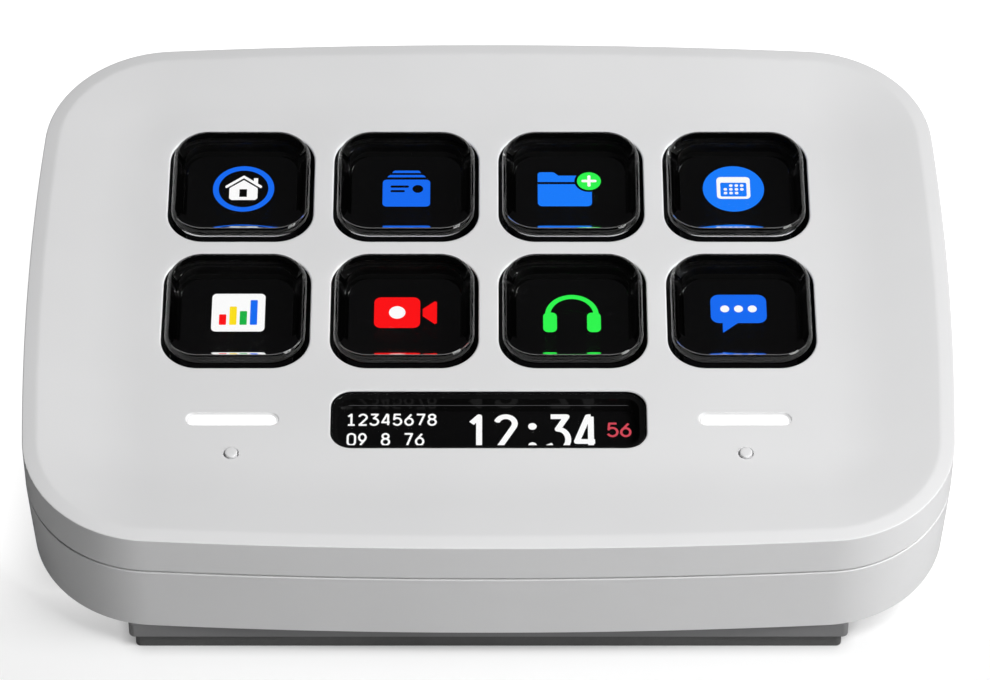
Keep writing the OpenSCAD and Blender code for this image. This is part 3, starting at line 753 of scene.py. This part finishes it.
# ---------------------------------------------------------------- display bar
def info_bar():
    """A clear pane over a glossy black frame, at whose foot lies the display."""
    stations = rounded(INFO_W - 2 * PANE_GAP, INFO_L - 2 * PANE_GAP, INFO_R - PANE_GAP, 12,
                       0, BAR_ROW_Y)
    pane = Shape()
    pane.solid(stations, [(0, PANE_LOW)] + bow(PANE_EDGE, 5, 0, INFO_TOP - PANE_EDGE, True))
    pane = pane.build("info_pane", CLEAR, "housing")
    pane.visible_shadow = False
    border = Shape()
    border_top = PANE_LOW - FRAME_GAP
    first = border.ring(ring_at(stations, FRAME_IN, INFO_LOW))
    last = border.rings(stations, [(-FRAME_OUT, INFO_LOW), (-FRAME_OUT, border_top),
                                   (FRAME_IN, border_top)], first)
    border.band(last, first)
    border = border.build("info_frame", GLOSS_BLACK, "housing", weighted=False)
    for obj, slot in ((pane, "clear_plastic"), (border, "dark_plastic")):
        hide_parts("info_window")


info_bar()


def arc_path(cx, cy, rx, ry, a0, a1):
    """Points of an elliptical curve, with its angles in degrees."""
    angles = [math.radians(a0 + (a1 - a0) * i / CURVE_STEPS) for i in range(CURVE_STEPS + 1)]
    return [(cx + rx * math.cos(a), cy + ry * math.sin(a)) for a in angles]


def digit_paths(ch, w, h):
    """The middle lines of a plain numeral, w wide and h high."""
    r = w / 2
    if ch == "0":
        return [arc_path(r, h - r, r, r, 0, 180) + arc_path(r, r, r, r, 180, 360) + [(w, h - r)]]
    if ch == "1":
        return [[(0.08 * w, 0.8 * h), (r, h), (r, 0)], [(0.05 * w, 0), (0.95 * w, 0)]]
    if ch == "2":
        return [arc_path(r, h - r, r, r, 165, -25) + [(0.04 * w, 0), (w, 0)]]
    if ch == "3":
        return [[(0.04 * w, h), (0.92 * w, h), (0.42 * w, 0.62 * h)]
                + arc_path(0.44 * w, 0.31 * h, 0.56 * w, 0.31 * h, 90, -155)]
    if ch == "4":
        return [[(w, 0.25 * h), (0, 0.25 * h), (0.62 * w, h), (0.78 * w, h)],
                [(0.78 * w, h), (0.78 * w, 0)]]
    if ch == "5":
        return [[(0.92 * w, h), (0.12 * w, h), (0.06 * w, 0.53 * h)]
                + arc_path(0.46 * w, 0.33 * h, 0.54 * w, 0.33 * h, 135, -155)]
    if ch == "6":
        return [arc_path(r, 0.32 * h, r, 0.32 * h, 0, 360), [(0.8 * w, h), (0.06 * w, 0.46 * h)]]
    if ch == "7":
        return [[(0, h), (w, h), (0.36 * w, 0)]]
    if ch == "8":
        return [arc_path(r, 0.28 * h, r, 0.28 * h, 0, 360),
                arc_path(r, 0.78 * h, 0.42 * w, 0.22 * h, 0, 360)]
    return [[(0.9 * w - x, h - y) for x, y in path] for path in digit_paths("6", 0.9 * w, h)]


def numerals(name, text, x, y, w, h, line, pitch, material):
    """Plain numerals in a row: x and y are its lower left corner."""
    loops = []
    for n, ch in enumerate(text):
        x0 = x + n * pitch + line / 2
        if ch == ":":
            loops += [circle_loop(x0 + (w - line) / 2, y + part * h, line * 0.72, COLON_STEPS)
                      for part in (0.17, 0.68)]
        elif ch != " ":
            for path in digit_paths(ch, w - line, h - line):
                loops += line_loops([(x0 + px, y + line / 2 + py) for px, py in path], line)
    decal(name, loops, material, 0, 0, INFO_LOW + PICTURE_GAP)


# The display's picture, which the frame's front edge cuts off: name, text, left, foot from the
# bar's middle, width, height, line, pitch, material
NUMERALS = (
    ("clock", "12:34", -2.45, -2.62, 2.75, 5.6, 0.68, 3.05, WHITE),
    ("seconds", "56", 13.55, -0.4, 1.32, 2.15, 0.27, 1.48, SOFT_RED),
    ("counter", "12345678", -16.25, 1.28, 1.1, 1.8, 0.24, 1.32, WHITE),
    ("total", "09 8 76", -16.2, -1.7, 1.08, 1.9, 0.24, 1.3, WHITE),
)
for name, text, left, foot_y, *sizes, material in NUMERALS:
    numerals(name, text, left, BAR_ROW_Y + foot_y, *sizes, material)

# A painted highlight: a faint glowing grey line along the frame's rear wall
EDGE_LINE_Y, EDGE_LINE_Z = BAR_ROW_Y + INFO_L / 2 - PANE_GAP - FRAME_IN - 0.01, -1.89
decal("bar_edge_line", [box_loop(-16.5, -0.06, 16.6, 0.0)], EDGE_HIGHLIGHT_GREY, 0, EDGE_LINE_Y, EDGE_LINE_Z)

# ---------------------------------------------------------------- lit slots
# (distance inside, height): the bar's foot, the flange that holds it and its lit top
GLOW_PROFILE = [(0, -4.0), (0, -2.4), (-GLOW_FLANGE, -2.4), (-GLOW_FLANGE, -FACE_T),
                (0, -FACE_T), (0, -0.3), (0.03, -0.23), (0.1, -0.2)]


def light_bar(side, side_name):
    shape = Shape()
    shape.solid(pill(SLOT_W - GLOW_LESS_W, SLOT_L - GLOW_LESS_L, 12, side * TOUCH_X, BAR_ROW_Y),
                GLOW_PROFILE)
    obj = shape.build(side_name + "_glow_bar", GLOW, "housing")
    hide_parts(side_name + "_light_bar")


for side, side_name in SIDES.items():
    light_bar(side, side_name)

# ---------------------------------------------------------------- looks of the CAD's own nodes
NODE_FINISH = {
    "ballast_plate": STEEL, "key_guide": BLACK, "key_mat": BLACK, "key_board": BLACK_BOARD,
    "key_display": SCREEN, "backlight": PALE, "display_tray": TRAY, "info_display": SCREEN,
    "touch_board": BOARD, "touch_leds": PALE, "main_board": BOARD, "board_chips": BLACK,
    "usb_socket": STEEL, "display_flex": RIBBON, "info_flex": RIBBON, "housing_screws": STEEL,
    "tray_screws": STEEL, "board_screws": STEEL, "plinth_screws": STEEL,
}
for node, material in NODE_FINISH.items():
    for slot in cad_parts[node].material_slots:
        slot.material = material

# ---------------------------------------------------------------- floor, light and camera
FLOOR_SHADE, FLOOR_UNEVEN, FLOOR_HALF = 0.5, 0.01, 4
FRONT_Y, REAR_Y = -0.036, -0.018            # the floor's glow rises from one to the other, a painted shadow in front of the object
FRONT_LIFT_SHADE, REAR_LIFT_SHADE = 0.45, 1.0       # the glow that makes it read as white, lower at the front as a painted shadow
FRONT_CONTACT, REAR_CONTACT = 0.0018, 0.008         # how near to the object the glow darkens, as a painted contact shadow
LAMP_AIM = Vector((0, 0, 0.02))
AMBIENT = 0.04
HORIZON_LOW, HORIZON_HIGH, CEILING = 0.12, 0.42, 0.01    # where the backdrop darkens, and to what


def combine(tree, operation, a, b):
    node = tree.nodes.new("ShaderNodeMath")
    node.operation = operation
    tree.links.new(a, node.inputs[0])
    tree.links.new(b, node.inputs[1])
    return node.outputs[0]


def light_path(tree, *rays):
    """1 for rays of these kinds, otherwise 0."""
    node = tree.nodes.new("ShaderNodeLightPath")
    value = node.outputs[rays[0]]
    for ray in rays[1:]:
        value = combine(tree, "MAXIMUM", value, node.outputs[ray])
    return value


def coordinate(tree, kind, axis):
    coords = tree.nodes.new("ShaderNodeTexCoord")
    split = tree.nodes.new("ShaderNodeSeparateXYZ")
    tree.links.new(coords.outputs[kind], split.inputs[0])
    return split.outputs[axis]


def smooth_fade(tree, value, start, end, low, high):
    """A smooth step from low at start to high at end."""
    node = tree.nodes.new("ShaderNodeMapRange")
    node.interpolation_type = "SMOOTHSTEP"
    for key, number in (("From Min", start), ("From Max", end), ("To Min", low), ("To Max", high)):
        node.inputs[key].default_value = number
    tree.links.new(value, node.inputs["Value"])
    return node.outputs["Result"]


def floor_material():
    """A pale floor that reads as white and is darker in the object's real shadow. Its glow carries
    a painted shadow: it is lower in front of the object and darker close to it.
    """
    material = bpy.data.materials.new("pale_floor")
    material.use_nodes = True
    tree = material.node_tree
    tree.nodes.clear()
    matt = tree.nodes.new("ShaderNodeBsdfDiffuse")
    dark, light = ((FLOOR_SHADE + change,) * 3 + (1,) for change in (-FLOOR_UNEVEN, FLOOR_UNEVEN))
    tree.links.new(ramp(tree, noise(tree, 3), dark, light), matt.inputs["Color"])
    depth = coordinate(tree, "Object", "Y")
    # Painted shadow: the glow is graded lower towards the front and darkened close to the object
    painted_contact_reach = smooth_fade(tree, depth, FRONT_Y, REAR_Y, FRONT_CONTACT, REAR_CONTACT)
    painted_shadow_grade = smooth_fade(tree, depth, FRONT_Y, REAR_Y, FRONT_LIFT_SHADE, REAR_LIFT_SHADE)
    open_sky = tree.nodes.new("ShaderNodeAmbientOcclusion")
    tree.links.new(painted_contact_reach, open_sky.inputs["Distance"])
    seen = light_path(tree, "Is Camera Ray", "Is Transmission Ray")
    lift = combine(tree, "MULTIPLY", seen, painted_shadow_grade)
    lift = combine(tree, "MULTIPLY", lift, open_sky.outputs["AO"])
    glow = tree.nodes.new("ShaderNodeEmission")
    tree.links.new(lift, glow.inputs["Strength"])
    add = tree.nodes.new("ShaderNodeAddShader")
    tree.links.new(matt.outputs[0], add.inputs[0])
    tree.links.new(glow.outputs[0], add.inputs[1])
    out = tree.nodes.new("ShaderNodeOutputMaterial")
    tree.links.new(add.outputs[0], out.inputs["Surface"])
    return material


def make_floor():
    mesh = bpy.data.meshes.new("floor")
    corners = [(x * FLOOR_HALF, y * FLOOR_HALF, 0) for x, y in ((-1, -1), (1, -1), (1, 1), (-1, 1))]
    mesh.from_pydata(corners, [], [(0, 1, 2, 3)])
    mesh.materials.append(floor_material())
    floor = bpy.data.objects.new("floor", mesh)
    bpy.context.scene.collection.objects.link(floor)


make_floor()


def lamp(name, place, size, power, mirrored):
    """A square soft light that faces the object. Unless mirrored, polished surfaces don't show
    it."""
    data = bpy.data.lights.new(name, "AREA")
    data.size, data.energy = size, power
    obj = bpy.data.objects.new(name, data)
    obj.location = place
    obj.rotation_euler = (LAMP_AIM - Vector(place)).to_track_quat("-Z", "Y").to_euler()
    obj.visible_glossy = obj.visible_transmission = mirrored
    bpy.context.scene.collection.objects.link(obj)


lamp("high_right", (0.26, -0.2, 0.55), 0.25, 3.48, False)
lamp("front_right", (0.45, -0.35, 0.25), 0.25, 1.34, True)
lamp("rear_low", (-0.15, 0.6, 0.055), 0.1, 1.1, False)


def studio_world():
    """Dim all-round light. The camera sees a white backdrop, and polished surfaces see it under a
    dark ceiling."""
    world = bpy.data.worlds.new("studio")
    bpy.context.scene.world = world
    world.use_nodes = True
    tree = world.node_tree

    def mix(factor, a, b):
        node = tree.nodes.new("ShaderNodeMixShader")
        tree.links.new(factor, node.inputs[0])
        tree.links.new(a, node.inputs[1])
        tree.links.new(b, node.inputs[2])
        return node.outputs[0]

    ambient = tree.nodes["Background"]
    backdrop, white = (tree.nodes.new("ShaderNodeBackground") for _ in range(2))
    for shade, strength in ((ambient, AMBIENT), (white, 1.0)):
        shade.inputs["Color"].default_value = (1, 1, 1, 1)
        shade.inputs["Strength"].default_value = strength
    height = coordinate(tree, "Generated", "Z")
    tree.links.new(smooth_fade(tree, height, HORIZON_LOW, HORIZON_HIGH, 1.0, CEILING),
                   backdrop.inputs["Strength"])
    polished = light_path(tree, "Is Glossy Ray", "Is Transmission Ray")
    lit = mix(polished, ambient.outputs[0], backdrop.outputs[0])
    seen = mix(light_path(tree, "Is Camera Ray"), lit, white.outputs[0])
    tree.links.new(seen, tree.nodes["World Output"].inputs["Surface"])


studio_world()

FOCAL_PX, VIEW_W, CENTRE_X = 5117.0, 990.0, 488.5       # in pixels of the view
SENSOR_W, DISTANCE = 36.0, 590.3                        # in millimetres
VIEW_ANGLE, AIM_Y = math.radians(40.8), -7.24           # from the face's normal; where it meets it


def make_camera():
    data = bpy.data.cameras.new("camera")
    camera = bpy.data.objects.new("camera", data)
    data.sensor_width = SENSOR_W
    data.lens = FOCAL_PX / VIEW_W * SENSOR_W
    data.shift_x = (VIEW_W / 2 - CENTRE_X) / VIEW_W
    data.clip_start, data.clip_end = 0.05, 20
    look = Vector((0, math.sin(VIEW_ANGLE + TILT), -math.cos(VIEW_ANGLE + TILT)))
    camera.location = slab_point(0, AIM_Y, 0) - look * DISTANCE * MM
    camera.rotation_euler = look.to_track_quat("-Z", "Y").to_euler()
    bpy.context.scene.collection.objects.link(camera)
    bpy.context.scene.camera = camera


make_camera()
bpy.context.scene.view_settings.view_transform = "Standard"
